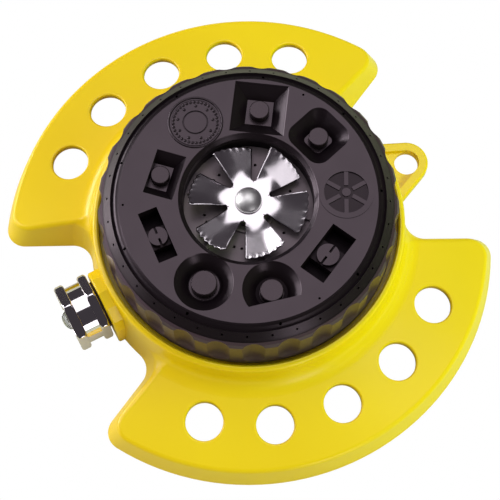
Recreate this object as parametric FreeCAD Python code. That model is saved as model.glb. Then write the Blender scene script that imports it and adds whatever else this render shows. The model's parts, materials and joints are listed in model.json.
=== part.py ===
import FreeCAD, Part
import math
import os

# A nine-pattern turret sprinkler, in millimetres.
# The dial turns about Z, the floor is z = 0, the hose comes in from -X and the wings lie along Y.

V = FreeCAD.Vector
UP = V(0, 0, 1)
TALL = 40.0                 # working height of the drafted blocks before they are trimmed
FAR = 300.0                 # longer than anything in the model
FIT = 0.1                   # gap between plastic pieces that fit into each other

# Base casting
BASE_R = 120.0              # outer radius of both wings at the floor
WING_END_DEG = 26.5         # each wing ends this far from the X axis
WING_DRAFT = 0.30           # inward lean of the wing walls, per mm of height
CORNER_R = 9.5              # outer corners of the wings, seen from above
NOTCH_R = 10.0              # fillet between the hub and each wing end
EDGE_R = 2.6                # rounding of the top edges
SHELL = 3.5                 # wall of the hollow casting
HOLE_CIRCLE_R = 95.2
HOLE_R = 8.9
HOLE_EDGE_R = 0.9
HOLES_PER_WING = 5
HOLE_STEP_DEG = 20.0
WING_Z = 16.6               # height of the wing top on the hole circle
WING_SLOPE = 0.19           # fall of the wing top towards its edge, per mm
FLARE_R = 10.0              # sweep of the wing top up into the hub
HUB_FOOT_R = 77.7
HUB_DRAFT = 0.106
HUB_TOP_Z = 35.5
CUP_R = 71.0                # the cup that the dial turns in
FLOOR_Z = 27.0              # bottom of the cup
FLOOR_T = 4.0
HUB_TOP_R = HUB_FOOT_R - HUB_DRAFT * HUB_TOP_Z

# Hanging eye
EYE_X = 89.4
EYE_R = 10.8
EYE_HOLE_R = 6.0
EYE_T = 5.0
EYE_WEB_T = 3.0
EYE_BORDER = 4.5
EYE_LEG_X = 74.0
EYE_LEG_Y = 18.6

# Water inlet
HOSE_Z = 17.5               # height of the hose axis
BOSS_X = -79.0              # face of the twelve-sided boss
BOSS_SIDES = 12
BOSS_AF = 31.0
BOSS_FLANK_T = 6.0          # how deep its flanks run in from the face
BOSS_END_R = 60.0           # the boss ends this far from the pivot, inside the hub
TAIL_R = 8.5
TAIL_BORE_R = 6.0
SOCKET_END_X = -71.0        # bottom of the threaded socket in the boss
SOCKET_R = 9.2
GALLERY_R = 9.0             # cast tube that carries the water to the port
GALLERY_END_X = -36.0
PORT_R = 44.5               # every port and every station sits on this radius
PORT_DEG = 176.0
DUCT_R = 4.5                # bore of the port and of the dial's ports
COLLAR_R = 11.8
COLLAR_TOP_Z = 30.6
POCKET_R = 9.6
POCKET_Z = 24.0
SPRING_H = 4.0              # room for the spring under the seal

# Swivel nut, washer and strainer
NUT_BACK_X = -80.2
NUT_MOUTH_X = -96.5
NUT_AF = 29.0
NUT_TURN_DEG = 4.5          # how far one corner of the hexagon stands from straight up
NUT_MOUTH_FLANGE = 4.8      # the wide hexagon at the mouth
NUT_BACK_FLANGE = 4.4
NUT_WAIST_R = 14.3
NUT_BORE_R = 12.9           # crest of the thread
NUT_WALL_X = -83.5          # inner face of the wall that holds the tail
TAIL_FLANGE_R = 12.4
TAIL_FLANGE_X = -83.7
TAIL_END_X = -86.0
WASHER_T = 3.0
STRAINER_FOOT_R = 7.6
STRAINER_TIP_R = 5.2
STRAINER_TIP_X = -99.1
STRAINER_WALL = 0.5

# Pivot stack
BOLT_R = 3.0
BOLT_HEAD_R = 5.8
BOLT_HEAD_Z = 61.4
BOLT_TOP_Z = 65.0
BOLT_END_Z = 1.0
PIVOT_BOSS_R = 14.0
PIVOT_BOSS_LOW_Z = 8.0
PIVOT_BOSS_TOP_Z = 30.0
SLEEVE_R = 6.0
SLEEVE_TOP_Z = 57.4
RUNNING_FIT = 0.06
ORING_Z = 45.0
ORING_R = 0.6
CIRCLIP_Z = 55.2

# Dial
PLATE_Z = 32.0              # underside of the dial
PLATE_T = 3.0
FACE_Z = 64.0
FACE_T = 2.6
FACE_EDGE_R = 59.0
SKIRT_R = 64.0
SKIRT_T = 2.0
GASKET_T = 1.5
GRIP_R = 69.0
GRIP_LOW_Z = 31.0
FLUTES = 27
FLUTE_DEG = 4.5             # direction of one flute
FLUTE_VALLEY_R = 67.2
FLUTE_TOOL_R = 9.0
FLUTE_LOW_Z = 37.5
WELL_R = 30.0
WELL_WALL_T = 2.4
WELL_LIP = 2.0
JET_PLATE_Z = 50.0
JET_PLATE_T = 2.4
HOUSING_Z = 51.5            # underside of the nine station housings
HOUSING_R = 15.2
RIM_HOLES = 36
RIM_HOLE_R = 0.55
SCREW_CIRCLE_R = 59.6
SCREW_DEGS = (76.0, 196.0, 316.0)
PILLAR_R = 3.5
PILLAR_TOP_Z = 60.5

PAD_Z = 58.4                # top of the pad at the bottom of a recess
BUTTON_Z = 62.6
SLOT_PAD_Z = 59.6
SLOT_BUTTON_Z = 62.2
STRIP_PAD_X = 9.2
STRIP_PAD_Y = 12.3
ABOVE = 1.0                 # cutting tools stand this far above the face

# Stations, anticlockwise from +X and 40 degrees apart
DIAMOND_DEG = 16.0
SQUARE_DEG = 56.0
RING_DEG = 96.0
STRIP_DEG = 136.0
NARROW_DEG = 176.0
CIRCLE_DEG = 216.0
HALF_DEG = 256.0
WIDE_DEG = 296.0
WHEEL_DEG = 336.0

# Spinner
SPINNER_R = 27.8
SPINNER_Z = 59.2
SPINNER_T = 0.8
SPINNER_HUB_R = 11.0
BLADES = 6
BLADE_WIDTH_DEG = 40.0
BLADE_TILT_DEG = 17.0
BLADE_DEG = 19.5            # direction of one blade
BUSHING_R = 4.0
BUSHING_FLANGE_R = 6.3


def polar(radius, degrees, z=0.0):
    """A point given by its radius, its angle from +X and its height."""
    angle = math.radians(degrees)
    return V(radius * math.cos(angle), radius * math.sin(angle), z)


def cylinder(radius, low, high, at=V()):
    """An upright cylinder between two heights."""
    return Part.makeCylinder(radius, high - low, V(at.x, at.y, low))


def tube(outer, inner, low, high, at=V()):
    """An upright tube between two heights."""
    return cylinder(outer, low, high, at).cut(cylinder(inner, low - 1, high + 1, at))


def box(size_x, size_y, low, high, at=V()):
    """A box between two heights, centred on a point."""
    return Part.makeBox(size_x, size_y, high - low, V(at.x - size_x / 2, at.y - size_y / 2, low))


def face_of(points):
    """A flat face from a closed outline."""
    return Part.Face(Part.makePolygon(points + points[:1]))


def lathe(points):
    """A solid of revolution about Z from a closed outline of (radius, height) points."""
    return face_of([V(radius, 0, z) for radius, z in points]).revolve(V(), UP, 360)


def lathe_hose(points):
    """A solid of revolution about the hose axis from a closed outline of (x, radius) points."""
    outline = face_of([V(x, 0, HOSE_Z + radius) for x, radius in points])
    return outline.revolve(V(0, 0, HOSE_Z), V(1, 0, 0), 360)


def hose_tube(outer, inner, start_x, end_x):
    """A tube on the hose axis."""
    return lathe_hose([(start_x, inner), (start_x, outer), (end_x, outer), (end_x, inner)])


def hose_rod(radius, start_x, end_x):
    """A solid rod on the hose axis."""
    return Part.makeCylinder(radius, abs(end_x - start_x), V(min(start_x, end_x), 0, HOSE_Z), V(1, 0, 0))


def prism(points, low, high):
    """A straight prism over an outline of (x, y) points."""
    return face_of([V(x, y, low) for x, y in points]).extrude(V(0, 0, high - low))


def regular(sides, across_flats, turn_deg=0.0):
    """The corners of a regular polygon, as (x, y) points."""
    radius = across_flats / 2 / math.cos(math.pi / sides)
    corners = [polar(radius, turn_deg + 360.0 * i / sides) for i in range(sides)]
    return [(corner.x, corner.y) for corner in corners]


def along_hose(shape):
    """Turns a shape built upright about Z so that its +Z points out of the hose inlet (-X)."""
    lying = shape.copy()
    lying.rotate(V(), V(0, 1, 0), -90)
    lying.translate(V(0, 0, HOSE_Z))
    return lying


def turned(shape, degrees, at=V()):
    """A copy of the shape turned about Z."""
    copy = shape.copy()
    copy.rotate(at, UP, degrees)
    return copy


def around(shape, count, start_deg=0.0):
    """Copies of one shape, evenly spaced about Z."""
    return [turned(shape, start_deg + 360.0 * i / count) for i in range(count)]


def at_station(shape, degrees, radius=PORT_R):
    """Moves a shape built at the origin (+X outwards) to its station on the dial."""
    moved = shape.copy()
    moved.translate(V(radius, 0, 0))
    moved.rotate(V(), UP, degrees)
    return moved


def rounded(shape, radius, wanted):
    """The shape with a fillet on every edge that the test picks."""
    return shape.makeFillet(radius, [edge for edge in shape.Edges if wanted(edge)])


def reach(edge):
    """The largest distance of an edge's ends from the Z axis."""
    return max(math.hypot(corner.X, corner.Y) for corner in edge.Vertexes)


# ---------------------------------------------------------------- base casting

def wing_block(inset, corner):
    """The +Y wing as a drafted block with rounded corners; inset moves its walls inwards."""
    foot = BASE_R - inset
    block = Part.makeCone(foot, foot - WING_DRAFT * TALL, TALL)
    along = polar(1, WING_END_DEG)
    inward = polar(1, WING_END_DEG + 90)
    section = [(inset, 0), (FAR, 0), (FAR, TALL), (inset + WING_DRAFT * TALL, TALL)]
    side = face_of([along * -FAR + inward * step + V(0, 0, z) for step, z in section])
    side = side.extrude(along * 2 * FAR)
    block = block.common(side).common(side.mirror(V(), V(1, 0, 0)))
    return rounded(block, corner, lambda edge: edge.BoundBox.ZLength > TALL - 1 and reach(edge) > CUP_R)


def wing_height(radius, drop=0.0):
    """Height of the wing's top at a radius."""
    return WING_Z + WING_SLOPE * (HOLE_CIRCLE_R - radius) - drop


def wing_envelope():
    """Everything under the sloping wing tops and the flare that sweeps up to the hub wall."""
    top_scale = math.hypot(1, WING_SLOPE)
    wall_scale = math.hypot(1, HUB_DRAFT)
    level = wing_height(0) + FLARE_R * top_scale
    centre_r = (HUB_FOOT_R + FLARE_R * wall_scale - HUB_DRAFT * level) / (1 - HUB_DRAFT * WING_SLOPE)
    centre = V(centre_r, 0, level - WING_SLOPE * centre_r)
    down = V(-WING_SLOPE, 0, -1) / top_scale
    back = V(-1, 0, -HUB_DRAFT) / wall_scale
    middle = (down + back).normalize()
    on_top, on_arc, on_wall = [centre + way * FLARE_R for way in (down, middle, back)]
    rim = V(BASE_R, 0, wing_height(BASE_R))
    line = [V(0, 0, on_wall.z), V(0, 0, 0), V(rim.x, 0, 0), rim, on_top]
    edges = [Part.makeLine(start, end) for start, end in zip(line, line[1:])]
    edges.append(Part.Arc(on_top, on_arc, on_wall).toShape())
    edges.append(Part.makeLine(on_wall, line[0]))
    return Part.Face(Part.Wire(edges)).revolve(V(), UP, 360)


def base_outside():
    """Hub and wings as one solid block with their blends."""
    wing = wing_block(0, CORNER_R).common(wing_envelope())
    rim_low = wing_height(BASE_R) - 1
    rim_high = wing_height(HUB_FOOT_R) + 1

    def top_edge(edge):
        bounds = edge.BoundBox
        return bounds.ZMin > rim_low and bounds.ZMin < WING_Z and bounds.ZMax < rim_high
    wing = rounded(wing, EDGE_R, top_edge)
    hub = lathe([(0, 0), (HUB_FOOT_R, 0), (HUB_TOP_R, HUB_TOP_Z), (0, HUB_TOP_Z)])
    hub = rounded(hub, 2.2, lambda edge: edge.BoundBox.ZMin > HUB_TOP_Z - 0.1)
    block = hub.fuse([wing, wing.mirror(V(), V(0, 1, 0))]).removeSplitter()

    def notch(edge):
        bounds = edge.BoundBox
        is_seam = edge.Curve.TypeId == "Part::GeomLine"
        return bounds.ZMin < 0.1 and bounds.ZLength > WING_Z and reach(edge) < HUB_FOOT_R + 1 and not is_seam
    return rounded(block, NOTCH_R, notch)


def wing_hollow():
    """The space under the +Y wing."""
    hollow = wing_block(SHELL, CORNER_R - SHELL)
    cap = [(0, -1), (BASE_R, -1), (BASE_R, wing_height(BASE_R, SHELL)), (CUP_R, wing_height(CUP_R, SHELL)),
           (0, wing_height(CUP_R, SHELL))]
    hub = Part.makeCone(HUB_FOOT_R, HUB_FOOT_R - HUB_DRAFT * TALL, TALL)
    return hollow.common(lathe(cap)).cut(hub)


def hanging_eye():
    """The flat eye with raised borders on the side away from the hose."""
    def outline(inset, low, high):
        radius = EYE_R - inset
        foot = V(EYE_LEG_X, EYE_LEG_Y - inset * 1.15, 0)
        to_eye = V(EYE_X, 0, 0) - foot
        tangent_deg = math.degrees(math.atan2(to_eye.y, to_eye.x) + math.asin(radius / to_eye.Length)) + 90
        touch = V(EYE_X, 0, 0) + polar(radius, tangent_deg)
        legs = prism([(EYE_LEG_X - 4, -foot.y), (foot.x, -foot.y), (touch.x, -touch.y),
                      (touch.x, touch.y), (foot.x, foot.y), (EYE_LEG_X - 4, foot.y)], low, high)
        return legs.fuse(cylinder(radius, low, high, V(EYE_X, 0, 0))).removeSplitter()
    plate = outline(0, 0, EYE_T)
    plate = rounded(plate, 1.2, lambda edge: edge.BoundBox.ZMin > EYE_T - 0.1)
    plate = plate.cut(outline(EYE_BORDER, EYE_WEB_T, EYE_T + 1))
    return plate.cut(cylinder(EYE_HOLE_R, -1, EYE_T + 1, V(EYE_X, 0, 0)))


def inlet_boss():
    """The faceted boss that the brass tail screws into, with upright flanks down to the floor."""
    depth = -BOSS_X - BOSS_END_R
    radius = BOSS_AF / 2 / math.cos(math.pi / BOSS_SIDES)
    upper = [polar(radius, degrees) for degrees in range(-90, 91, 360 // BOSS_SIDES)]
    outline = [(corner.x, corner.y) for corner in upper] + [(-HOSE_Z, radius), (-HOSE_Z, -radius)]
    boss = prism(outline, depth - BOSS_FLANK_T, depth).fuse(prism(regular(BOSS_SIDES, BOSS_AF), 0, depth))
    boss = rounded(boss.removeSplitter(), 1.0, lambda edge: edge.BoundBox.ZMin > depth - 0.1)
    boss.translate(V(0, 0, -BOSS_X - depth))
    return along_hose(boss)


def base_casting():
    """The painted casting with its cup, water gallery, wings and eye."""
    port = polar(PORT_R, PORT_DEG)
    under_z = FLOOR_Z - FLOOR_T
    under_foot = HUB_FOOT_R - SHELL
    cup = lathe([(0, FLOOR_Z), (CUP_R, FLOOR_Z), (CUP_R, HUB_TOP_Z - 0.8), (CUP_R + 0.9, HUB_TOP_Z + 0.1),
                 (CUP_R + 0.9, TALL), (0, TALL)])
    under = lathe([(0, -1), (under_foot, -1), (under_foot - HUB_DRAFT * under_z, under_z), (0, under_z)])
    body = base_outside().cut([cup, under, wing_hollow(), wing_hollow().mirror(V(), V(0, 1, 0))])
    body = body.fuse([
        hanging_eye(),
        inlet_boss().cut(cup),
        hose_rod(GALLERY_R, -HUB_TOP_R + 1, GALLERY_END_X + 2),
        cylinder(COLLAR_R, HOSE_Z - GALLERY_R + 1, COLLAR_TOP_Z, port),
        cylinder(PIVOT_BOSS_R, PIVOT_BOSS_LOW_Z, PIVOT_BOSS_TOP_Z),
    ])
    body = body.cut([
        hose_rod(TAIL_BORE_R, BOSS_X - 1, GALLERY_END_X - 2),
        hose_rod(SOCKET_R, BOSS_X - 1, SOCKET_END_X),
        cylinder(DUCT_R, HOSE_Z, TALL, port),
        cylinder(POCKET_R, POCKET_Z, TALL, port),
        cylinder(BOLT_R + RUNNING_FIT, -1, TALL),
    ])
    holes = []
    for wing_deg in (90, 270):
        for i in range(HOLES_PER_WING):
            step = (i - (HOLES_PER_WING - 1) / 2) * HOLE_STEP_DEG
            holes.append(cylinder(HOLE_R, -1, TALL, polar(HOLE_CIRCLE_R, wing_deg + step)))
    body = body.cut(holes).removeSplitter()

    lowest = wing_height(HOLE_CIRCLE_R + HOLE_R) - 0.1

    def hole_edge(edge):
        bounds = edge.BoundBox
        middle = math.hypot(bounds.Center.x, bounds.Center.y)
        is_hole = abs(middle - HOLE_CIRCLE_R) < 1 and abs(bounds.XLength - 2 * HOLE_R) < 1
        return is_hole and bounds.ZMin > lowest and bounds.ZLength < 2 * HOLE_R
    return rounded(body, HOLE_EDGE_R, hole_edge)


# ---------------------------------------------------------------- hose connection

def inlet_tail():
    """The brass tail: a threaded spigot, a bearing for the nut, and a flange inside the nut."""
    return lathe_hose([
        (SOCKET_END_X, TAIL_BORE_R), (SOCKET_END_X, SOCKET_R), (BOSS_X, SOCKET_R), (BOSS_X, TAIL_R),
        (TAIL_FLANGE_X, TAIL_R), (TAIL_FLANGE_X, TAIL_FLANGE_R), (TAIL_END_X, TAIL_FLANGE_R),
        (TAIL_END_X, TAIL_BORE_R)])


def tail_gasket():
    """The fibre ring between the boss and the nut."""
    return hose_tube(11.5, TAIL_R, BOSS_X, NUT_BACK_X + 0.3)


def swivel_nut():
    """The hose nut: two hexagonal flanges with a round waist between them."""
    length = NUT_BACK_X - NUT_MOUTH_X
    hexagon = prism(regular(6, NUT_AF, NUT_TURN_DEG), 0, length)
    corner_r = NUT_AF / 2 / math.cos(math.pi / 6)
    bevel = 1.0
    mouth_start = length - NUT_MOUTH_FLANGE
    profile = lathe([
        (0, 0), (corner_r - 1.6, 0), (corner_r, bevel), (corner_r, NUT_BACK_FLANGE - bevel),
        (corner_r - 1.6, NUT_BACK_FLANGE), (NUT_WAIST_R, NUT_BACK_FLANGE), (NUT_WAIST_R, mouth_start),
        (corner_r - 1.6, mouth_start), (corner_r, mouth_start + bevel), (corner_r, length - bevel),
        (corner_r - 1.6, length), (0, length)])
    body = hexagon.common(profile)
    body.translate(V(0, 0, -NUT_BACK_X))
    body = along_hose(body)
    bore = lathe_hose([
        (NUT_BACK_X + 1, 0), (NUT_BACK_X + 1, TAIL_R + RUNNING_FIT), (NUT_WALL_X, TAIL_R + RUNNING_FIT),
        (NUT_WALL_X, NUT_BORE_R), (NUT_MOUTH_X + 0.8, NUT_BORE_R), (NUT_MOUTH_X - 0.2, NUT_BORE_R + 1.0),
        (NUT_MOUTH_X - 1, NUT_BORE_R + 1.0), (NUT_MOUTH_X - 1, 0)])
    return body.cut(bore)


def hose_washer():
    """The rubber washer that seals the hose."""
    start = TAIL_END_X - FIT
    return hose_tube(NUT_BORE_R, STRAINER_FOOT_R - 0.6, start, start - WASHER_T)


def filter_screen():
    """The strainer: a brim on the washer and a thimble that stands out of the nut."""
    brim_x = TAIL_END_X - FIT - WASHER_T
    shoulder_x = STRAINER_TIP_X + STRAINER_TIP_R * 0.6
    outside = [(brim_x, STRAINER_FOOT_R), (shoulder_x, STRAINER_TIP_R),
               (STRAINER_TIP_X + 0.7, STRAINER_TIP_R * 0.7), (STRAINER_TIP_X, STRAINER_TIP_R * 0.2), (STRAINER_TIP_X, 0)]
    inside = [(x + STRAINER_WALL, max(radius - STRAINER_WALL, 0)) for x, radius in reversed(outside)]
    inside[-1] = (brim_x, STRAINER_FOOT_R - STRAINER_WALL)
    thimble = lathe_hose(outside + inside)
    return thimble.fuse(hose_tube(NUT_BORE_R - 0.6, STRAINER_FOOT_R - STRAINER_WALL, brim_x, brim_x - 0.6))


# ---------------------------------------------------------------- pivot stack

def pivot_bolt():
    """The bolt that holds the dial and the spinner, with a low domed head."""
    head_h = BOLT_TOP_Z - BOLT_HEAD_Z
    dome_r = (BOLT_HEAD_R ** 2 + (head_h - 0.8) ** 2) / (2 * (head_h - 0.8))
    head = cylinder(BOLT_HEAD_R, BOLT_HEAD_Z, BOLT_TOP_Z)
    head = head.common(Part.makeSphere(dome_r, V(0, 0, BOLT_TOP_Z - dome_r)))
    return head.fuse(cylinder(BOLT_R, BOLT_END_Z, BOLT_HEAD_Z + 0.5)).removeSplitter()


def pivot_washer():
    return tube(8.5, BOLT_R + RUNNING_FIT, PIVOT_BOSS_LOW_Z - 1.4, PIVOT_BOSS_LOW_Z)


def pivot_nut():
    high = PIVOT_BOSS_LOW_Z - 1.4
    return prism(regular(6, 10.0), high - 5.0, high).cut(cylinder(BOLT_R, -1, TALL))


def pivot_sleeve():
    """The brass sleeve that the dial turns on, with grooves for the O-ring and the circlip."""
    body = tube(SLEEVE_R, BOLT_R + RUNNING_FIT, PIVOT_BOSS_TOP_Z, SLEEVE_TOP_Z)
    oring_groove = tube(SLEEVE_R + 1, SLEEVE_R - 2 * ORING_R, ORING_Z - 0.75, ORING_Z + 0.75)
    clip_groove = tube(SLEEVE_R + 1, SLEEVE_R - 0.8, CIRCLIP_Z, CIRCLIP_Z + 1.0)
    return body.cut([oring_groove, clip_groove])


def pivot_oring():
    return Part.makeTorus(SLEEVE_R - ORING_R, ORING_R - 0.02, V(0, 0, ORING_Z))


def dial_circlip():
    """The spring clip that keeps the dial down on its thrust washer."""
    ring = tube(8.6, SLEEVE_R - 0.8, CIRCLIP_Z, CIRCLIP_Z + 1.0)
    gap = box(8.0, 3.0, CIRCLIP_Z - 1, CIRCLIP_Z + 2, V(8.0, 0, 0))
    return ring.cut(gap)


def dial_thrust_washer():
    return tube(13.5, SLEEVE_R + 0.2, PIVOT_BOSS_TOP_Z, PIVOT_BOSS_TOP_Z + 1.0)


def spinner_washer():
    return tube(SLEEVE_R, BOLT_R + RUNNING_FIT, SLEEVE_TOP_Z, SLEEVE_TOP_Z + 0.8)


# ---------------------------------------------------------------- outlet seal

def outlet_seal():
    """The rubber seal that presses up against the dial round the open port."""
    return tube(POCKET_R - 0.3, DUCT_R, POCKET_Z + SPRING_H, PLATE_Z - FIT, polar(PORT_R, PORT_DEG))


def seal_spring():
    """The coil spring under the seal."""
    wire_r = 0.6
    low = POCKET_Z + wire_r
    high = POCKET_Z + SPRING_H - wire_r
    turns = 2
    coil_r = 7.4
    helix = Part.makeHelix((high - low) / turns, high - low, coil_r)
    start = Part.Wire(Part.makeCircle(wire_r, V(coil_r, 0, 0), V(0, 1, 0)))
    coil = Part.Wire(helix.Edges).makePipeShell([start], True, True)
    coil.translate(polar(PORT_R, PORT_DEG, low))
    return coil


# ---------------------------------------------------------------- dial

def dial_manifold():
    """The lower plate of the dial, with its bearing, nine ports and a tube to each nozzle."""
    top = PLATE_Z + PLATE_T
    bearing_r = 9.5
    chamber = tube(WELL_R + WELL_WALL_T, WELL_R - 2.0, top - 0.5, JET_PLATE_Z)
    pieces = [cylinder(12.0, PIVOT_BOSS_TOP_Z + 1.0 + RUNNING_FIT, top),
              cylinder(bearing_r, top - 0.5, CIRCLIP_Z - FIT), chamber]
    for degrees in NOZZLES:
        pieces.append(at_station(cylinder(7.5, top - 0.5, JET_PLATE_Z), degrees))
    duct_end = PORT_R - WELL_R + 2
    pieces.append(at_station(cylinder(7.0, top - 0.5, top + 8), WHEEL_DEG))
    pieces.append(at_station(box(duct_end, 9.0, top - 0.5, top + 8, V(-duct_end / 2, 0, 0)), WHEEL_DEG))
    body = cylinder(SKIRT_R - FIT, PLATE_Z, top).fuse(pieces)
    cuts = [cylinder(SLEEVE_R + RUNNING_FIT, 0, FACE_Z)]
    for degrees in list(NOZZLES) + [RING_DEG]:
        cuts.append(at_station(cylinder(DUCT_R, 0, FACE_Z), degrees))
    cuts.append(at_station(cylinder(DUCT_R, 0, top + 6), WHEEL_DEG))
    cuts.append(at_station(box(duct_end + 2, 6.0, top, top + 6, V(-duct_end / 2 - 1, 0, 0)), WHEEL_DEG))
    for degrees in SCREW_DEGS:
        cuts.append(cylinder(1.5, 0, top + 1, polar(SCREW_CIRCLE_R, degrees)))
    return body.cut(cuts).removeSplitter()


def dial_gasket():
    """The flat ring between skirt and plate, notched around the screw pillars."""
    low = PLATE_Z + PLATE_T
    ring = tube(SKIRT_R - FIT, SKIRT_R - SKIRT_T, low, low + GASKET_T)
    notches = [cylinder(PILLAR_R + FIT, 0, FACE_Z, polar(SCREW_CIRCLE_R, degrees)) for degrees in SCREW_DEGS]
    return ring.cut(notches)


def jet_plate():
    """The plate under the spinner, with ribs and a ring of slanting jets."""
    high = JET_PLATE_Z + JET_PLATE_T
    body = tube(WELL_R - FIT, 9.5 + FIT, JET_PLATE_Z, high)
    rib = box(13.0, 1.2, high - 0.2, high + 1.6, V(22.5, 0, 0))
    ring = tube(13.2, 12.0, high - 0.2, high + 1.2)
    body = body.fuse(around(rib, 6, 19.5) + [ring])
    jets = []
    for radius, offset in ((15.6, 17.0), (20.7, -16.0), (20.7, -6.0)):
        jets += around(cylinder(0.7, 0, FACE_Z, V(radius, 0, 0)), 6, offset)
    return body.cut(jets).removeSplitter()


def rounded_square(side, corner, z):
    """A square wire with rounded corners, centred on the origin."""
    half = side / 2
    square = face_of([V(half, half, z), V(-half, half, z), V(-half, -half, z), V(half, -half, z)])
    block = square.extrude(V(0, 0, 1))
    block = rounded(block, corner, lambda edge: edge.BoundBox.ZLength > 0.5)
    low = [face for face in block.Faces if face.BoundBox.ZMax < z + 0.01]
    return low[0].OuterWire


def tapered(low_x, low_y, high_x, high_y, low, high, shift=0.0):
    """A block that widens upwards; shift moves the top rectangle along X."""
    def rectangle(size_x, size_y, z, centre):
        points = [V(centre + sx * size_x / 2, sy * size_y / 2, z) for sx, sy in
                  ((1, 1), (-1, 1), (-1, -1), (1, -1))]
        return Part.makePolygon(points + points[:1])
    ends = [rectangle(low_x, low_y, low, 0), rectangle(high_x, high_y, high, shift)]
    return Part.makeLoft(ends, True, True)


def square_recess():
    return tapered(12.5, 12.5, 23.5 + 4.0, 23.5 + 4.0, PAD_Z, FACE_Z + ABOVE)


def diamond_recess():
    low = rounded_square(10.5, 2.2, PAD_Z - 0.4)
    high = rounded_square(22.0 + 3.6, 7.0, FACE_Z + ABOVE)
    return Part.makeLoft([low, high], True, True)


def cone_recess(top_r):
    """A recess whose wall slopes at 45 degrees."""
    low_z = PAD_Z - 0.4
    return Part.makeCone(top_r - (FACE_Z - low_z), top_r + ABOVE, FACE_Z + ABOVE - low_z, V(0, 0, low_z))


def circle_recess():
    return cone_recess(13.4)


def half_recess():
    """Half a cone, cut off by an upright wall just outside the button."""
    wall_x = 5.6
    return cone_recess(13.2).common(box(40, 40, 50, 70, V(wall_x - 20, 0, 0)))


def slot_recess(width, length):
    return box(width, length, HOUSING_Z + 1.5, FACE_Z + ABOVE)


def strip_recess():
    """A recess with an upright outer wall and three sloping ones."""
    low_x, low_y, high_x, high_y = STRIP_PAD_X, STRIP_PAD_Y, 14.8, 23.7
    return tapered(low_x, low_y, high_x, high_y, PAD_Z, FACE_Z + ABOVE, -(high_x - low_x) / 2)


def disc_pad(radius):
    return lambda low, high, gap: cylinder(radius - gap, low, high)


def block_pad(size_x, size_y):
    return lambda low, high, gap: box(size_x - 2 * gap, size_y - 2 * gap, low, high)


def diamond_pad(low, high, gap):
    outline = Part.Face(rounded_square(10.5 - 2 * gap, 2.2, low))
    return outline.extrude(V(0, 0, high - low))


def round_button(radius, pad_z, top_z):
    """A button on a narrower neck; the water leaves through small holes in the neck."""
    neck_h = 0.8
    neck = cylinder(radius - 1.2, pad_z - 0.5, pad_z + neck_h + 0.5)
    head = cylinder(radius, pad_z + neck_h, top_z)
    head = rounded(head, 0.5, lambda edge: edge.BoundBox.ZMin > top_z - 0.1)
    return neck.fuse(head).removeSplitter()


def split_button(radius, pad_z, top_z):
    """A button on a narrower neck, cut across by a slit that a small bridge interrupts."""
    neck = cylinder(radius - 1.0, pad_z - 0.5, pad_z + 1.0)
    head = neck.fuse(cylinder(radius, pad_z + 0.8, top_z)).removeSplitter()
    half_slit = radius + 1 - 1.2
    slits = [box(1.1, half_slit, pad_z - 0.2, top_z + 1, V(0, side * (1.2 + half_slit / 2), 0))
             for side in (-1, 1)]
    return head.cut(slits)


class Nozzle:
    """One spray pattern: its recess in the dial, its pad and its button."""
    def __init__(self, recess, pad, pad_z, button, radius=PORT_R):
        self.recess = recess
        self.pad = pad
        self.pad_z = pad_z
        self.button = button
        self.radius = radius

    def cutter(self):
        """What the dial face loses to this station."""
        shaft = self.pad(HOUSING_Z - 1, self.pad_z + 0.5, 0)
        return [self.recess, shaft]

    def insert(self):
        """The nozzle itself, with a flange below the dial face and a spigot in the manifold."""
        shift = V(PORT_R - self.radius, 0, 0)
        spigot = cylinder(DUCT_R - FIT, JET_PLATE_Z - 6, JET_PLATE_Z + 0.5, shift)
        flange = cylinder(7.4, JET_PLATE_Z, HOUSING_Z - 0.02, shift)
        pad = self.pad(JET_PLATE_Z + 0.5, self.pad_z, FIT)
        body = spigot.fuse([flange, pad, self.button]).removeSplitter()
        bore = cylinder(2.6, 0, self.pad_z - 1.5, shift)
        return body.cut(bore)


NOZZLES = {
    DIAMOND_DEG: ("nozzle_diamond", Nozzle(diamond_recess(), diamond_pad, PAD_Z - 0.4,
                                           round_button(4.6, PAD_Z - 0.4, 63.0))),
    SQUARE_DEG: ("nozzle_square", Nozzle(square_recess(), block_pad(12.5, 12.5), PAD_Z,
                                         round_button(4.6, PAD_Z, BUTTON_Z))),
    STRIP_DEG: ("nozzle_side_strip", Nozzle(strip_recess(), block_pad(STRIP_PAD_X, STRIP_PAD_Y), PAD_Z,
                                            round_button(4.4, PAD_Z, BUTTON_Z - 0.4), 42.2)),
    NARROW_DEG: ("nozzle_narrow_slot", Nozzle(slot_recess(9.1, 25.3), block_pad(9.1, 10.0), SLOT_PAD_Z,
                                              split_button(4.4, SLOT_PAD_Z, SLOT_BUTTON_Z))),
    CIRCLE_DEG: ("nozzle_circle", Nozzle(circle_recess(), disc_pad(7.0), PAD_Z - 0.6,
                                         round_button(5.9, PAD_Z - 0.4, BUTTON_Z))),
    HALF_DEG: ("nozzle_half_circle", Nozzle(half_recess(), disc_pad(5.6), PAD_Z - 0.6,
                                            round_button(5.3, PAD_Z - 0.4, BUTTON_Z))),
    WIDE_DEG: ("nozzle_wide_slot", Nozzle(slot_recess(12.7, 25.5), block_pad(12.7, 10.6), SLOT_PAD_Z,
                                          split_button(5.1, SLOT_PAD_Z, SLOT_BUTTON_Z))),
}


def wheel_emblem():
    """The raised wheel that marks the spinner pattern, and the sunk field inside it."""
    raised = tube(12.6, 10.1, FACE_Z - 0.5, FACE_Z + 0.35)
    field = cylinder(10.1, FACE_Z - 0.5, FACE_Z + ABOVE)
    spoke = box(6.9, 1.9, FACE_Z - 0.6, FACE_Z + 0.1, V(6.75, 0, 0))
    spokes = around(spoke, 6, 30.0 - 4.0) + [cylinder(2.0, FACE_Z - 0.6, FACE_Z + 0.1)]
    return raised, field, spokes


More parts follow.
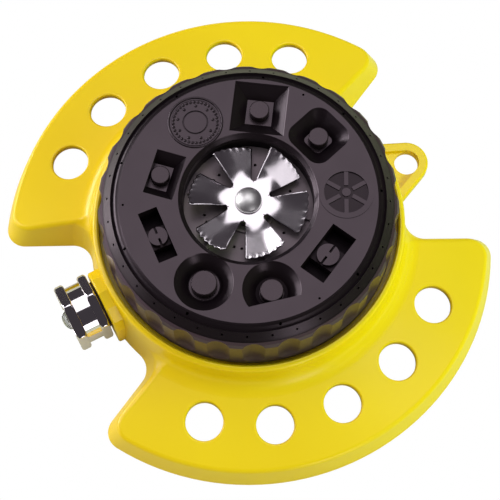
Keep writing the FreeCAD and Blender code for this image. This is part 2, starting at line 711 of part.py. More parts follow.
def ring_emblem():
    """The double ring with small bumps that marks the pinhole pattern."""
    lines = [tube(12.7, 12.0, FACE_Z - 0.3, FACE_Z + 0.5), tube(11.6, 11.2, FACE_Z - 0.3, FACE_Z + 0.3)]
    groove = tube(6.0, 5.2, FACE_Z - 0.6, FACE_Z + ABOVE)
    bumps = around(cylinder(0.6, FACE_Z - 0.3, FACE_Z + 0.5, V(10.2, 0, 0)), 36)
    bumps += around(cylinder(0.6, FACE_Z - 0.3, FACE_Z + 0.5, V(8.2, 0, 0)), 9, 6.0)
    return lines + bumps, groove


def dial_face():
    """The moulded face: rim, spinner well, nine stations and three screw pillars."""
    low_wall = PLATE_Z + PLATE_T + GASKET_T
    underside = FACE_Z - FACE_T
    outline = [
        (WELL_R + WELL_LIP, FACE_Z), (FACE_EDGE_R, FACE_Z), (60.6, 63.2), (62.4, 61.7), (62.9, 62.8),
        (66.6, 59.2), (66.6, 57.0), (SKIRT_R, 57.0), (SKIRT_R, low_wall), (SKIRT_R - SKIRT_T, low_wall),
        (SKIRT_R - SKIRT_T, 57.5), (60.5, 60.0), (57.0, underside), (WELL_R + WELL_WALL_T, underside),
        (WELL_R + WELL_WALL_T, JET_PLATE_Z), (WELL_R, JET_PLATE_Z), (WELL_R, FACE_Z - WELL_LIP)]
    body = lathe(outline)
    added = []
    for degrees in NOZZLES:
        added.append(at_station(cylinder(HOUSING_R, HOUSING_Z, underside + 0.5), degrees))
    for degrees in SCREW_DEGS:
        added.append(cylinder(PILLAR_R, PLATE_Z + PLATE_T, PILLAR_TOP_Z, polar(SCREW_CIRCLE_R, degrees)))
    body = body.fuse(added)
    cuts = [cylinder(WELL_R, JET_PLATE_Z - 5, FACE_Z - WELL_LIP)]
    for degrees, (_, nozzle) in NOZZLES.items():
        cuts += [at_station(tool, degrees, nozzle.radius) for tool in nozzle.cutter()]
    for degrees in SCREW_DEGS:
        cuts.append(cylinder(1.5, 0, PLATE_Z + 14.5, polar(SCREW_CIRCLE_R, degrees)))
    body = body.cut(cuts)
    wheel, field, spokes = wheel_emblem()
    marks, groove = ring_emblem()
    body = body.cut([at_station(field, WHEEL_DEG), at_station(groove, RING_DEG)])
    body = body.fuse([at_station(shape, WHEEL_DEG) for shape in [wheel] + spokes]
                     + [at_station(shape, RING_DEG) for shape in marks])
    slanted = Part.makeCylinder(RIM_HOLE_R, 12.0, V(64.6 + 1.5, 0, 61.3 + 1.5), V(-1, 0, -1))
    upright = cylinder(RIM_HOLE_R + 0.1, 50, 70, V(60.6, 0, 0))
    inner = cylinder(RIM_HOLE_R, 50, 70, V(57.0, 0, 0))
    pinholes = around(slanted, RIM_HOLES, 2.0) + around(upright, 9, DIAMOND_DEG) + around(inner, 3, 36.0)
    body = body.cut(pinholes)
    return body.removeSplitter()


def dial_grip_ring():
    """The fluted ring that the hand turns."""
    ring = lathe([(SKIRT_R + FIT, GRIP_LOW_Z), (GRIP_R - 0.8, GRIP_LOW_Z), (GRIP_R, GRIP_LOW_Z + 0.8),
                  (GRIP_R, 56.8), (68.0, 58.4), (66.7, 59.0), (66.7, 56.9), (SKIRT_R + FIT, 56.9)])
    centre = V(FLUTE_VALLEY_R + FLUTE_TOOL_R, 0, 0)
    flute = cylinder(FLUTE_TOOL_R, FLUTE_LOW_Z + 3, FACE_Z + 6, centre)
    end = Part.makeSphere(FLUTE_TOOL_R, V(centre.x, 0, FLUTE_LOW_Z + 3))
    return ring.cut(around(flute.fuse(end).removeSplitter(), FLUTES, FLUTE_DEG))


def dial_screws():
    """Three screws that pull the manifold up to the face."""
    screws = []
    for degrees in SCREW_DEGS:
        at = polar(SCREW_CIRCLE_R, degrees)
        head = cylinder(2.8, PLATE_Z - 1.8, PLATE_Z, at)
        screws.append(head.fuse(cylinder(1.5, PLATE_Z - 0.5, PLATE_Z + 14.0, at)).removeSplitter())
    return Part.makeCompound(screws)


# ---------------------------------------------------------------- spinner

def spinner():
    """The sheet-metal turbine: a hub disc and six tilted blades."""
    high = SPINNER_Z + SPINNER_T
    half = math.radians(BLADE_WIDTH_DEG / 2)
    inner = 8.0
    sector = prism([(inner, -inner * math.tan(half)), (FAR, -FAR * math.tan(half)),
                    (FAR, FAR * math.tan(half)), (inner, inner * math.tan(half))], SPINNER_Z, high)
    blade = sector.common(cylinder(SPINNER_R, SPINNER_Z, high))
    blade.rotate(V(0, 0, SPINNER_Z + SPINNER_T / 2), V(1, 0, 0), BLADE_TILT_DEG)
    body = cylinder(SPINNER_HUB_R, SPINNER_Z, high).fuse(around(blade, BLADES, BLADE_DEG))
    return body.cut(cylinder(BUSHING_R, 0, FACE_Z)).removeSplitter()


def spinner_bushing():
    """The flanged bearing pressed into the spinner."""
    low = SLEEVE_TOP_Z + 0.8 + 0.2
    high = SPINNER_Z + SPINNER_T
    return tube(BUSHING_R, BOLT_R + RUNNING_FIT, low, high).fuse(
        tube(BUSHING_FLANGE_R, BOLT_R + RUNNING_FIT, high, high + 1.0)).removeSplitter()


def main():
    pieces = {
        "base_casting": base_casting(),
        "inlet_tail": inlet_tail(),
        "tail_gasket": tail_gasket(),
        "swivel_nut": swivel_nut(),
        "hose_washer": hose_washer(),
        "filter_screen": filter_screen(),
        "pivot_bolt": pivot_bolt(),
        "pivot_washer": pivot_washer(),
        "pivot_nut": pivot_nut(),
        "pivot_sleeve": pivot_sleeve(),
        "pivot_oring": pivot_oring(),
        "dial_circlip": dial_circlip(),
        "dial_thrust_washer": dial_thrust_washer(),
        "spinner_washer": spinner_washer(),
        "outlet_seal": outlet_seal(),
        "seal_spring": seal_spring(),
        "dial_manifold": dial_manifold(),
        "dial_gasket": dial_gasket(),
        "jet_plate": jet_plate(),
        "dial_face": dial_face(),
        "dial_grip_ring": dial_grip_ring(),
        "dial_screws": dial_screws(),
        "spinner": spinner(),
        "spinner_bushing": spinner_bushing(),
    }
    for degrees, (name, nozzle) in NOZZLES.items():
        pieces[name] = at_station(nozzle.insert(), degrees, nozzle.radius)
    os.makedirs("parts", exist_ok=True)
    for name, shape in pieces.items():
        print(name, "solids", len(shape.Solids), "valid", shape.isValid(), "volume", round(shape.Volume))
        shape.exportStep("parts/" + name + ".step")


main()
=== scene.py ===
import json
import math

import bmesh
import bpy
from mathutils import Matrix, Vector


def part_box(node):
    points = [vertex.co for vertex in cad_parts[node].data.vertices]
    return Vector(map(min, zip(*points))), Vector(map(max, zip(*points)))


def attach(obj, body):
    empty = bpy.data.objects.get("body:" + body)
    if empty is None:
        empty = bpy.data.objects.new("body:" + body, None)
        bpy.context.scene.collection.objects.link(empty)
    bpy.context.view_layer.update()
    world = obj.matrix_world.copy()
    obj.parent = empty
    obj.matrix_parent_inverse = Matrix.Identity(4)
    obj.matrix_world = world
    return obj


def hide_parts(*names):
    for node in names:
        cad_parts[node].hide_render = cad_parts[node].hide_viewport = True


# Camera, fitted to the picture's perspective (metres and degrees)
CAMERA_AZIMUTH_DEG = -27.5
CAMERA_ELEVATION_DEG = 71.6
CAMERA_DISTANCE = 0.7024
CAMERA_TARGET = Vector((-0.0011, -0.0036, 0.0))
CAMERA_LENS_MM = 102.1
SENSOR_MM = 36.0

MM = 0.001
LIGHTS_AIM_Z = 0.03         # height that every light points at
FLOOR_HALF = 6.0
FLOOR_Z = -0.0002           # just under the object


def srgb(red, green, blue):
    """A linear colour from the 0 to 255 values that a paint chart gives."""
    def linear(value):
        value /= 255.0
        return value / 12.92 if value <= 0.04045 else ((value + 0.055) / 1.055) ** 2.4
    return (linear(red), linear(green), linear(blue), 1.0)


# ---------------------------------------------------------------- stage, light and camera

def sight(azimuth_deg, elevation_deg):
    """The unit vector from the object towards a viewer; azimuth 0 looks along +Y."""
    azimuth = math.radians(azimuth_deg)
    elevation = math.radians(elevation_deg)
    return Vector((math.sin(azimuth) * math.cos(elevation), -math.cos(azimuth) * math.cos(elevation),
                   math.sin(elevation)))


def add_camera():
    data = bpy.data.cameras.new("camera")
    data.lens = CAMERA_LENS_MM
    data.sensor_width = SENSOR_MM
    data.clip_end = 10
    camera = bpy.data.objects.new("camera", data)
    bpy.context.scene.collection.objects.link(camera)
    back = sight(CAMERA_AZIMUTH_DEG, CAMERA_ELEVATION_DEG)
    camera.location = CAMERA_TARGET + back * CAMERA_DISTANCE
    camera.rotation_euler = back.to_track_quat("Z", "Y").to_euler()
    bpy.context.scene.camera = camera


def add_light(name, azimuth_deg, elevation_deg, distance, width, height, watts,
              colour=(1, 1, 1), mirrored=True):
    """A soft rectangular light aimed at the object, with or without its image in gloss."""
    data = bpy.data.lights.new(name, "AREA")
    data.shape = "RECTANGLE"
    data.size = width
    data.size_y = height
    data.energy = watts
    data.color = colour
    light = bpy.data.objects.new(name, data)
    light.visible_glossy = mirrored
    bpy.context.scene.collection.objects.link(light)
    back = sight(azimuth_deg, elevation_deg)
    light.location = back * distance + Vector((0, 0, LIGHTS_AIM_Z))
    light.rotation_euler = back.to_track_quat("Z", "Y").to_euler()


def add_floor():
    """A wide pale floor that the camera sees as plain white."""
    mesh = bpy.data.meshes.new("floor")
    half = FLOOR_HALF
    corners = [(-half, -half, 0), (half, -half, 0), (half, half, 0), (-half, half, 0)]
    mesh.from_pydata(corners, [], [(0, 1, 2, 3)])
    floor = bpy.data.objects.new("floor", mesh)
    bpy.context.scene.collection.objects.link(floor)
    nodes, shader = new_material("floor_pale")
    links = nodes.id_data.links
    shader.inputs["Base Color"].default_value = srgb(214, 212, 190)
    shader.inputs["Roughness"].default_value = 0.9
    white = nodes.new("ShaderNodeEmission")
    white.inputs["Strength"].default_value = 1.0
    seen = nodes.new("ShaderNodeLightPath")
    blend = nodes.new("ShaderNodeMixShader")
    links.new(seen.outputs["Is Camera Ray"], blend.inputs[0])
    links.new(shader.outputs["BSDF"], blend.inputs[1])
    links.new(white.outputs["Emission"], blend.inputs[2])
    links.new(blend.outputs["Shader"], nodes["Material Output"].inputs["Surface"])
    mesh.materials.append(bpy.data.materials["floor_pale"])
    floor.location.z = FLOOR_Z


def add_room():
    """An evenly lit room that looks darker in gloss and metal."""
    world = bpy.data.worlds.new("room")
    world.use_nodes = True
    nodes, links = world.node_tree.nodes, world.node_tree.links
    fill = nodes["Background"]
    fill.inputs["Color"].default_value = (1, 1, 1, 1)
    fill.inputs["Strength"].default_value = 0.30
    dark = nodes.new("ShaderNodeBackground")
    dark.inputs["Color"].default_value = (1, 0.9, 1, 1)
    dark.inputs["Strength"].default_value = 0.06
    ray = nodes.new("ShaderNodeLightPath")
    blend = nodes.new("ShaderNodeMixShader")
    links.new(ray.outputs["Is Glossy Ray"], blend.inputs[0])
    links.new(fill.outputs["Background"], blend.inputs[1])
    links.new(dark.outputs["Background"], blend.inputs[2])
    links.new(blend.outputs["Shader"], nodes["World Output"].inputs["Surface"])
    bpy.context.scene.world = world
    bpy.context.scene.view_settings.view_transform = "Standard"


def add_lights():
    add_light("overhead", 152.5, 72, 2.0, 1.7, 1.7, 17)
    add_light("upper_left", -126, 43, 2.0, 0.65, 0.6, 7)
    add_light("right_high", 55, 63, 2.0, 0.5, 0.45, 1.0)
    add_light("right_side", 62, 20, 1.6, 0.9, 0.3, 16, (0.58, 1.0, 0.40), False)
    add_light("lower_right", 20, 36, 2.0, 0.6, 0.6, 10, (0.9, 1.0, 0.6), False)
    add_light("low_left", -138, 8, 1.5, 1.2, 0.44, 15)
    add_light("front_strip", -1.5, 13, 1.6, 0.45, 0.65, 2.6)
    add_light("mouth_strip", -104, 9, 1.6, 0.6, 0.4, 1.8)


# ---------------------------------------------------------------- materials

FACE_Z = 64.0               # top of the dial's face
DEEPEST_Z = 58.0            # just under the bottoms of its recesses


def new_material(name):
    """A node material and its shader, in place of any plain one of that name."""
    plain = bpy.data.materials.get(name)
    if plain:
        bpy.data.materials.remove(plain)
    material = bpy.data.materials.new(name)
    material.use_nodes = True
    nodes = material.node_tree.nodes
    return nodes, nodes["Principled BSDF"]


def noise(nodes, scale, detail=3.0):
    """Fractal noise in object space, so it stays put on the piece."""
    links = nodes.id_data.links
    place = nodes.new("ShaderNodeTexCoord")
    texture = nodes.new("ShaderNodeTexNoise")
    texture.inputs["Scale"].default_value = scale
    texture.inputs["Detail"].default_value = detail
    links.new(place.outputs["Object"], texture.inputs["Vector"])
    return texture.outputs["Fac"]


def vary_colour(nodes, shader, value, dark, light):
    """Base colour that drifts between two tones."""
    ramp = nodes.new("ShaderNodeValToRGB")
    ramp.color_ramp.elements[0].position = 0.3
    ramp.color_ramp.elements[0].color = dark
    ramp.color_ramp.elements[1].position = 0.7
    ramp.color_ramp.elements[1].color = light
    nodes.id_data.links.new(value, ramp.inputs["Fac"])
    nodes.id_data.links.new(ramp.outputs["Color"], shader.inputs["Base Color"])


def vary_roughness(nodes, shader, value, low, high):
    span = nodes.new("ShaderNodeMapRange")
    span.inputs["To Min"].default_value = low
    span.inputs["To Max"].default_value = high
    nodes.id_data.links.new(value, span.inputs["Value"])
    nodes.id_data.links.new(span.outputs["Result"], shader.inputs["Roughness"])


def add_bump(nodes, shader, value, height_mm, strength=1.0):
    bump = nodes.new("ShaderNodeBump")
    bump.inputs["Strength"].default_value = strength
    bump.inputs["Distance"].default_value = height_mm * MM
    nodes.id_data.links.new(value, bump.inputs["Height"])
    nodes.id_data.links.new(bump.outputs["Normal"], shader.inputs["Normal"])


def yellow_paint():
    """Glossy powder coat with a faint orange peel."""
    nodes, shader = new_material("yellow_paint")
    vary_colour(nodes, shader, noise(nodes, 9), srgb(226, 190, 6), srgb(232, 198, 9))
    vary_roughness(nodes, shader, noise(nodes, 60), 0.26, 0.34)
    shader.inputs["Specular IOR Level"].default_value = 0.35
    shader.inputs["Coat Weight"].default_value = 0.1
    shader.inputs["Coat Roughness"].default_value = 0.12
    add_bump(nodes, shader, noise(nodes, 260, 2), 0.02, 0.5)


def moulded(name, dark, light, roughness, grain_mm=0.015):
    """Satin moulded plastic with a fine sparked grain."""
    nodes, shader = new_material(name)
    shader.inputs["Specular Tint"].default_value = (1.0, 0.78, 0.93, 1)
    vary_colour(nodes, shader, noise(nodes, 30), dark, light)
    vary_roughness(nodes, shader, noise(nodes, 90), roughness - 0.05, roughness + 0.05)
    add_bump(nodes, shader, noise(nodes, 1400, 4), grain_mm, 0.6)


def painted_shade_by_height(name, levels):
    """Makes a plastic's gloss follow the height, from (height in mm, level) pairs; low gloss in the
    hollows paints shade there.
    """
    material = bpy.data.materials[name]
    nodes, links = material.node_tree.nodes, material.node_tree.links
    place = nodes.new("ShaderNodeTexCoord")
    split = nodes.new("ShaderNodeSeparateXYZ")
    links.new(place.outputs["Object"], split.inputs["Vector"])
    height = nodes.new("ShaderNodeMapRange")
    height.inputs["From Min"].default_value = DEEPEST_Z * MM
    height.inputs["From Max"].default_value = FACE_Z * MM
    links.new(split.outputs["Z"], height.inputs["Value"])
    ramp = nodes.new("ShaderNodeValToRGB")
    stops = ramp.color_ramp.elements
    while len(stops) < len(levels):
        stops.new(1.0)
    for stop, (level_height, level) in zip(stops, levels):
        stop.position = (level_height - DEEPEST_Z) / (FACE_Z - DEEPEST_Z)
        stop.color = (level, level, level, 1)
    links.new(height.outputs["Result"], ramp.inputs["Fac"])
    # a low specular level darkens the black plastic, as painted shade in its low parts
    links.new(ramp.outputs["Color"], nodes["Principled BSDF"].inputs["Specular IOR Level"])


def metal(name, colour, roughness, scale=300, bump_mm=0.0):
    """Bare or plated metal with slightly uneven polish."""
    nodes, shader = new_material(name)
    red, green, blue, _ = colour
    vary_colour(nodes, shader, noise(nodes, 40), (red * 0.93, green * 0.93, blue * 0.93, 1), colour)
    vary_roughness(nodes, shader, noise(nodes, scale), roughness * 0.8, roughness * 1.25)
    shader.inputs["Metallic"].default_value = 1.0
    if bump_mm:
        add_bump(nodes, shader, noise(nodes, scale, 2), bump_mm, 0.5)


def rubber():
    nodes, shader = new_material("rubber")
    vary_colour(nodes, shader, noise(nodes, 120), srgb(18, 18, 18), srgb(30, 29, 29))
    vary_roughness(nodes, shader, noise(nodes, 200), 0.6, 0.8)
    add_bump(nodes, shader, noise(nodes, 700, 3), 0.02, 0.5)


def make_materials():
    yellow_paint()
    moulded("face_plastic", srgb(17, 12, 16), srgb(22, 16, 20), 0.32)
    # painted shade: almost no gloss at the recess bottoms (58.2 mm), full gloss on the face; duller at
    # 63.5 mm, the level of the sunk emblem fields
    painted_shade_by_height("face_plastic", [(58.2, 0.04), (60.1, 0.42), (63.2, 0.42),
                                     (63.5, 0.24), (63.8, 0.56)])
    moulded("grip_plastic", srgb(54, 41, 47), srgb(62, 48, 54), 0.40)
    moulded("nozzle_plastic", srgb(22, 16, 20), srgb(27, 20, 24), 0.27)
    # painted shade: little gloss between 59.1 and 61.8 mm, on the sides of the buttons, a dark ring in
    # place of the shadow gap round each button
    painted_shade_by_height("nozzle_plastic", [(58.8, 0.5), (59.1, 0.1), (61.8, 0.1), (62.0, 0.5)])
    moulded("black_plastic", srgb(88, 80, 84), srgb(98, 90, 94), 0.30)
    moulded("white_plastic", srgb(214, 212, 204), srgb(226, 224, 216), 0.45)
    moulded("fibre_seal", srgb(40, 32, 26), srgb(66, 54, 44), 0.85, 0.05)
    metal("spinner_steel", srgb(208, 200, 208), 0.2, 120, 0.01)
    metal("bright_steel", srgb(226, 223, 225), 0.46)
    metal("steel_mesh", srgb(196, 198, 200), 0.25)
    metal("chrome", srgb(222, 216, 222), 0.07)
    metal("brass", srgb(212, 176, 104), 0.25)
    rubber()


def paint_nodes(frame):
    """Gives every CAD node the material of its slot in the record."""
    for entry in frame["record"]["subparts"]:
        piece = frame["nodes"][entry["node"]]
        material = bpy.data.materials[entry["material_slot"]]
        for slot in piece.material_slots:
            slot.material = material


# ---------------------------------------------------------------- mesh helpers

def add_piece(name, vertices, faces, material, body, smooth_deg=35):
    """A new mesh piece that rides on a CAD body."""
    mesh = bpy.data.meshes.new(name)
    mesh.from_pydata(vertices, [], faces)
    shape = bmesh.new()
    shape.from_mesh(mesh)
    bmesh.ops.remove_doubles(shape, verts=shape.verts, dist=0.002 * MM)
    bmesh.ops.recalc_face_normals(shape, faces=shape.faces)
    shape.to_mesh(mesh)
    shape.free()
    mesh.materials.append(bpy.data.materials[material])
    piece = bpy.data.objects.new(name, mesh)
    bpy.context.scene.collection.objects.link(piece)
    mesh.shade_smooth()
    mesh.set_sharp_from_angle(angle=math.radians(smooth_deg))
    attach(piece, body)
    return piece


def loop_faces(loops, size, closed):
    """Faces between neighbouring loops of points, each loop joined round on itself."""
    faces = []
    for i in range(loops if closed else loops - 1):
        here, there = i * size, (i + 1) % loops * size
        for k in range(size):
            nxt = (k + 1) % size
            faces.append((here + k, here + nxt, there + nxt, there + k))
    return faces


def tube_along(points, radius, sides, closed=False):
    """Vertices and faces of a round tube along a list of points."""
    vertices = []
    count = len(points)
    for i, point in enumerate(points):
        ahead = points[(i + 1) % count] if closed or i + 1 < count else point
        behind = points[i - 1] if closed or i else point
        direction = (ahead - behind).normalized()
        if i == 0:
            across = direction.orthogonal().normalized()
        else:
            across = (across - direction * across.dot(direction)).normalized()
        up = direction.cross(across)
        for k in range(sides):
            angle = 2 * math.pi * k / sides
            vertices.append(point + (across * math.cos(angle) + up * math.sin(angle)) * radius)
    faces = loop_faces(count, sides, closed)
    if not closed:
        faces.append(tuple(range(sides)))
        faces.append(tuple(reversed(range((count - 1) * sides, count * sides))))
    return vertices, faces


def joined(parts):
    """Several (vertices, faces) pairs as one."""
    vertices, faces = [], []
    for part_vertices, part_faces in parts:
        start = len(vertices)
        vertices += part_vertices
        faces += [tuple(start + index for index in face) for face in part_faces]
    return vertices, faces


# ---------------------------------------------------------------- spinner

SPINNER_BLADES = 6
BLADE_DEG = 19.5            # direction of one blade
SPINNER_BORE_R = 4.0
SLOT_ROOT_R = 10.0          # where each slot between two blades ends
SLOT_ROOT_W = 1.3           # half its width at the round root
SLOT_TIP_W = 4.7            # half its width at the blade tips
BLADE_RISE = 0.31           # tilt of a blade across its width
TILT_FROM_R = 9             # the tilt comes in over the next 8 mm
TILT_OVER = 8
CURL = 0.018                # extra bend of each raised half
CURL_FROM_R = 12
CURL_OVER = 10
TIP_ZONE = 3.2              # width of the wavy band at the tips
TIP_TRIM = 0.32
TIP_ROUND = 0.004
RUFFLE_PITCH = 3.1
RUFFLE_HEIGHT = 0.10
RUFFLE_DEPTH = 0.3
SHEET_T = 0.6


def smoothstep(value):
    value = min(max(value, 0.0), 1.0)
    return value * value * (3 - 2 * value)


def slot_half_width(radius, tip_r):
    """Half the width of the slot between two blades at a radius."""
    inside = radius - SLOT_ROOT_R
    if inside <= 0:
        return 0.0
    if inside < SLOT_ROOT_W:
        return math.sqrt(SLOT_ROOT_W ** 2 - (SLOT_ROOT_W - inside) ** 2)
    share = (inside - SLOT_ROOT_W) / (tip_r - SLOT_ROOT_R - SLOT_ROOT_W)
    return SLOT_ROOT_W + (SLOT_TIP_W - SLOT_ROOT_W) * share


def blade_radius_and_height(radius, angle, tip_r):
    """Where a point of a flat blade goes once the blade is tilted, curled and ruffled."""
    across = radius * math.sin(angle)
    tilt = BLADE_RISE * smoothstep((radius - TILT_FROM_R) / TILT_OVER)
    curl = CURL * max(across, 0) ** 2 * smoothstep((radius - CURL_FROM_R) / CURL_OVER)
    near_tip = smoothstep((radius - tip_r + TIP_ZONE) / TIP_ZONE)
    wave = math.cos(2 * math.pi * across / RUFFLE_PITCH)
    height = across * tilt + curl + RUFFLE_HEIGHT * near_tip * wave
    trim = near_tip * (TIP_TRIM + RUFFLE_DEPTH * wave) + TIP_ROUND * near_tip * across ** 2
    return radius - trim, height


def blade_radii(tip_r):
    """Distances from the axis, close together round the root of a slot."""
    root_steps, blade_steps = 6, 26
    radii = [SPINNER_BORE_R + i for i in range(6)]
    for i in range(root_steps + 1):
        radii.append(SLOT_ROOT_R + SLOT_ROOT_W * (1 - math.cos(math.pi / 2 * i / root_steps)))
    root_end = radii[-1]
    for i in range(blade_steps):
        radii.append(root_end + (tip_r - root_end) * (i + 1) / blade_steps)
    return radii


def spinner_sheet():
    """The pressed turbine: a flat hub, six tilted blades and wavy tips."""
    low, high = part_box("spinner")
    tip_r = high.x / MM
    middle_z = (low.z + high.z) / 2 / MM
    radii = blade_radii(tip_r)
    columns = 28
    width = columns + 1
    vertices, faces = [], []
    for blade in range(SPINNER_BLADES):
        start = len(vertices)
        middle = math.radians(BLADE_DEG) + 2 * math.pi * blade / SPINNER_BLADES
        for radius in radii:
            half = math.pi / SPINNER_BLADES
            half -= math.asin(slot_half_width(radius, tip_r) / radius)
            for j in range(width):
                angle = half * (2 * j / columns - 1)
                reach, height = blade_radius_and_height(radius, angle, tip_r)
                turn = angle + middle
                vertices.append((reach * math.cos(turn) * MM, reach * math.sin(turn) * MM,
                                 (middle_z + height) * MM))
        for i in range(len(radii) - 1):
            for j in range(columns):
                corner = start + i * width + j
                faces.append((corner, corner + 1, corner + width + 1, corner + width))
    piece = add_piece("spinner_sheet", vertices, faces, "spinner_steel", "spinner", 60)
    thicken = piece.modifiers.new("sheet", "SOLIDIFY")
    thicken.thickness = SHEET_T * MM
    thicken.offset = 0
    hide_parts("spinner")


# ---------------------------------------------------------------- hose nut

HOSE_Z = 17.5
NUT_FLAT_R = 14.5           # half the width across flats
NUT_CORNER_DEG = 85.5       # direction of one corner, from +Y towards +Z
NUT_WAIST_R = 14.2
NUT_BACK_FLANGE = 4.4
NUT_MOUTH_FLANGE = 4.8
NUT_WALL = 3.3              # thickness of the wall that holds the tail
NUT_CHAMFER = 1.1           # how much the corners lose at the ends of a flange
NUT_EDGE = 0.3              # rounding of the edges
CORNER_SHARPNESS = 4.0      # how tight the six corners are
CHAMFER_SHARPNESS = 9.0     # how tight the chamfer's border is
TAIL_HOLE_R = 8.56
THREAD_R = 12.9
THREAD_PITCH = 2.2
THREAD_DEPTH = 0.7
THREAD_FADE = 1.5           # length over which the thread runs out at each end
THREAD_RINGS = 44
MOUTH_RELIEF_R = 1.0        # how much wider the bore is at its mouth
MOUTH_RELIEF = 0.9


def hose_point(x, radius, angle):
    """A point by its place along the hose axis, its distance from it and its angle."""
    return Vector((x, radius * math.cos(angle), HOSE_Z + radius * math.sin(angle))) * MM


def rounded_min(first, second, sharp):
    """The smaller of two lengths, with a rounded changeover."""
    return -math.log(math.exp(-first * sharp) + math.exp(-second * sharp)) / sharp


def flange_radius(offset, length, angle):
    """Radius of a chamfered hexagon, at a distance from its near end."""
    turn = math.radians(60)
    share = (angle - math.radians(NUT_CORNER_DEG)) % turn - turn / 2
    near = NUT_FLAT_R / math.cos(share)
    beyond = NUT_FLAT_R / math.cos(turn - abs(share))
    flat = rounded_min(near, beyond, CORNER_SHARPNESS)
    inside = min(offset, length - offset)
    cone = NUT_FLAT_R / math.cos(turn / 2) - NUT_CHAMFER * max(1 - inside, 0)
    radius = rounded_min(flat, cone, CHAMFER_SHARPNESS)
    if inside < NUT_EDGE:
        radius -= NUT_EDGE - math.sqrt(NUT_EDGE ** 2 - (NUT_EDGE - inside) ** 2)
    return radius


def round_ring(radius):
    """A round outline, as a function of the angle."""
    return lambda angle: radius


def flange_rings(start, length):
    """The outlines of one flange, from its back end towards the mouth of the nut."""
    steps = [0.0, 0.03, 0.1, 0.2, NUT_EDGE, 0.5, 0.75, 1.0]
    steps += [length - step for step in reversed(steps)]
    rings = []
    for step in steps:
        rings.append((start - step, lambda angle, step=step:
                      max(flange_radius(step, length, angle), NUT_WAIST_R)))
    return rings


def thread_ring(x, mouth_x, wall_x):
    """The outline of the threaded bore, as a function of the angle."""
    depth = THREAD_DEPTH * min((x - mouth_x) / THREAD_FADE, (wall_x - x) / THREAD_FADE, 1)

    def radius(angle):
        phase = (x / THREAD_PITCH + angle / (2 * math.pi)) % 1
        return THREAD_R + depth * abs(2 * phase - 1)
    return radius


def nut_rings(mouth_x, back_x):
    """The outlines of the nut: along its outside to the mouth, and back through the bore."""
    wall_x = back_x - NUT_WALL
    rings = [(back_x, round_ring(TAIL_HOLE_R))]
    rings += flange_rings(back_x, NUT_BACK_FLANGE)
    rings.append((back_x - NUT_BACK_FLANGE, round_ring(NUT_WAIST_R)))
    rings.append((mouth_x + NUT_MOUTH_FLANGE, round_ring(NUT_WAIST_R)))
    rings += flange_rings(mouth_x + NUT_MOUTH_FLANGE, NUT_MOUTH_FLANGE)
    rings.append((mouth_x, round_ring(THREAD_R + MOUTH_RELIEF_R)))
    thread_x = mouth_x + MOUTH_RELIEF
    for i in range(THREAD_RINGS):
        x = thread_x + (wall_x - mouth_x - MOUTH_RELIEF) * i / (THREAD_RINGS - 1)
        rings.append((x, thread_ring(x, mouth_x, wall_x)))
    rings.append((wall_x, round_ring(TAIL_HOLE_R)))
    return rings


def nut():
    """The swivel nut: two chamfered hexagons, a round waist and a threaded bore."""
    low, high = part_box("swivel_nut")
    rings = nut_rings(low.x / MM, high.x / MM)
    turns = 240
    vertices = []
    for x, radius in rings:
        for i in range(turns):
            angle = 2 * math.pi * i / turns
            vertices.append(hose_point(x, radius(angle), angle))
    faces = loop_faces(len(rings), turns, closed=True)
    piece = add_piece("nut_chrome", vertices, faces, "chrome", "hose_swivel", 40)
    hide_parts("swivel_nut")


# ---------------------------------------------------------------- ring emblem

STATION_R = 44.5
RING_EMBLEM_DEG = 96.0
BUMP_ROWS = ((36, 10.2, 0.0), (9, 8.2, 6.0))    # how many, circle radius, first direction
BUMP_R = 0.75
BUMP_HEIGHT = 0.75
BEAD_RING_R = 12.35
BEAD_R = 0.55
BEAD_LIFT = 0.1             # the bead's middle is this far above the face


def on_emblem(radius, angle):
    """x and y of a point by its distance and angle from the middle of the emblem."""
    middle = math.radians(RING_EMBLEM_DEG)
    x = STATION_R * math.cos(middle) + radius * math.cos(angle)
    y = STATION_R * math.sin(middle) + radius * math.sin(angle)
    return x, y


def dome(x, y):
    """A small round bump standing on the face of the dial."""
    sides, steps = 12, 4
    vertices = []
    for k in range(steps):
        tilt = math.radians(90) * k / steps
        across = BUMP_R * math.cos(tilt)
        z = FACE_Z + BUMP_HEIGHT * math.sin(tilt)
        for i in range(sides):
            angle = 2 * math.pi * i / sides
            vertices.append(Vector((x + across * math.cos(angle), y + across * math.sin(angle), z)) * MM)
    vertices.append(Vector((x, y, FACE_Z + BUMP_HEIGHT)) * MM)
    faces = loop_faces(steps, sides, closed=False)
    last = (steps - 1) * sides
    for i in range(sides):
        faces.append((last + i, last + (i + 1) % sides, steps * sides))
    faces.append(tuple(range(sides)))
    return vertices, faces


def emblem_bumps():
    """The round bumps of the pinhole pattern's emblem."""
    parts = []
    for count, circle_r, first_deg in BUMP_ROWS:
        for i in range(count):
            angle = math.radians(RING_EMBLEM_DEG + first_deg) + 2 * math.pi * i / count
            parts.append(dome(*on_emblem(circle_r, angle)))
    vertices, faces = joined(parts)
    add_piece("emblem_beads", vertices, faces, "face_plastic", "dial", 60)


def emblem_ring():
    """The round bead that frames the emblem."""
    turns, sides = 144, 8
    vertices = []
    for i in range(turns):
        angle = 2 * math.pi * i / turns
        for k in range(sides):
            tilt = 2 * math.pi * k / sides
            x, y = on_emblem(BEAD_RING_R + BEAD_R * math.cos(tilt), angle)
            vertices.append(Vector((x, y, FACE_Z + BEAD_LIFT + BEAD_R * math.sin(tilt))) * MM)
    faces = loop_faces(turns, sides, closed=True)
    add_piece("emblem_ring", vertices, faces, "face_plastic", "dial", 60)


# ---------------------------------------------------------------- strainer

STRAINER_FOOT_R = 7.4
STRAINER_TIP_R = 5.1
STRAINER_STRAIGHT = 0.62    # share of a meridian that is straight
STRAINER_DOME = 0.75        # height of the dome, as a share of its radius
STRAINER_OPEN_TOP = 0.97    # the wires stop this far along a meridian
STRAINER_MERIDIANS = 44
STRAINER_HOOPS = 22
WIRE_R = 0.13
BRIM_R = 12.3


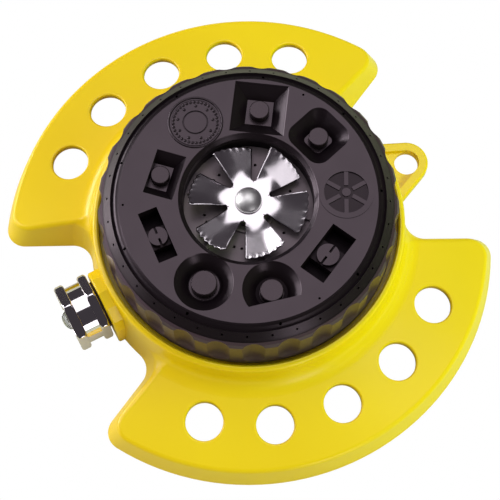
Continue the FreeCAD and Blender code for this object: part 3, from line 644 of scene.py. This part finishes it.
def strainer_wire(tip_x, brim_x):
    """The woven-wire thimble."""
    dome_length = STRAINER_TIP_R * STRAINER_DOME
    length = brim_x - tip_x - WIRE_R

    def profile(share):
        """x and radius from the brim (0) to the middle of the dome (1)."""
        if share < STRAINER_STRAIGHT:
            along = share / STRAINER_STRAIGHT
            radius = STRAINER_FOOT_R + (STRAINER_TIP_R - STRAINER_FOOT_R) * along
            return brim_x - (length - dome_length) * along, radius
        bend = (share - STRAINER_STRAIGHT) / (1 - STRAINER_STRAIGHT) * math.pi / 2
        x = brim_x - length + dome_length * (1 - math.sin(bend))
        return x, STRAINER_TIP_R * math.cos(bend)

    steps = STRAINER_HOOPS * 2
    parts = []
    for i in range(STRAINER_MERIDIANS):
        angle = 2 * math.pi * i / STRAINER_MERIDIANS
        weave = 1 if i % 2 else -1
        line = []
        for k in range(steps):
            x, radius = profile(k / (steps - 1) * STRAINER_OPEN_TOP)
            radius += weave * WIRE_R * 0.5 * math.cos(math.pi * k / 2)
            line.append(hose_point(x, radius, angle))
        parts.append(tube_along(line, WIRE_R * MM, 5))
    turns = 60
    for k in range(STRAINER_HOOPS):
        x, radius = profile((k + 0.5) / STRAINER_HOOPS * STRAINER_OPEN_TOP)
        ring = [hose_point(x, radius, 2 * math.pi * i / turns) for i in range(turns)]
        parts.append(tube_along(ring, WIRE_R * MM, 5, closed=True))
    vertices, faces = joined(parts)
    return add_piece("strainer_wire", vertices, faces, "steel_mesh", "hose_swivel", 60)


def strainer_brim(brim_x):
    """The pressed brim that lies against the hose washer."""
    foot = STRAINER_FOOT_R
    outline = [(0, foot - 0.5), (0, BRIM_R), (0.35, BRIM_R), (0.6, BRIM_R - 0.3),
               (0.6, foot + 0.7), (0.9, foot + 0.25), (1.2, foot + 0.15), (1.2, foot - 0.3)]
    turns = 72
    vertices = []
    for i in range(turns):
        for depth, radius in outline:
            vertices.append(hose_point(brim_x - depth, radius, 2 * math.pi * i / turns))
    faces = loop_faces(turns, len(outline), closed=True)
    return add_piece("strainer_brim", vertices, faces, "bright_steel", "hose_swivel")


def strainer():
    """The filter screen in the mouth of the nut."""
    low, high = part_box("filter_screen")
    for piece in (strainer_wire(low.x / MM, high.x / MM), strainer_brim(high.x / MM)):
        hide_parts("filter_screen")


# ---------------------------------------------------------------- main

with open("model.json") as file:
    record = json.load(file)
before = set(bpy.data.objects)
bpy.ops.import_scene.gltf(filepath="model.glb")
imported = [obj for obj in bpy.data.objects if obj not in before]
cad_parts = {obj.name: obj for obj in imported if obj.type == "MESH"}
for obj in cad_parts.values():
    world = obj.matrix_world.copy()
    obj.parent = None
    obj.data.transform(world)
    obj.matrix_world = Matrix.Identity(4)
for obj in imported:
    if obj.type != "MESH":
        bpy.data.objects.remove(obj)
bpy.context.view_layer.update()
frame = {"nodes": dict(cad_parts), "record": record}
make_materials()
paint_nodes(frame)
spinner_sheet()
nut()
emblem_bumps()
emblem_ring()
strainer()
add_camera()
add_floor()
add_room()
add_lights()
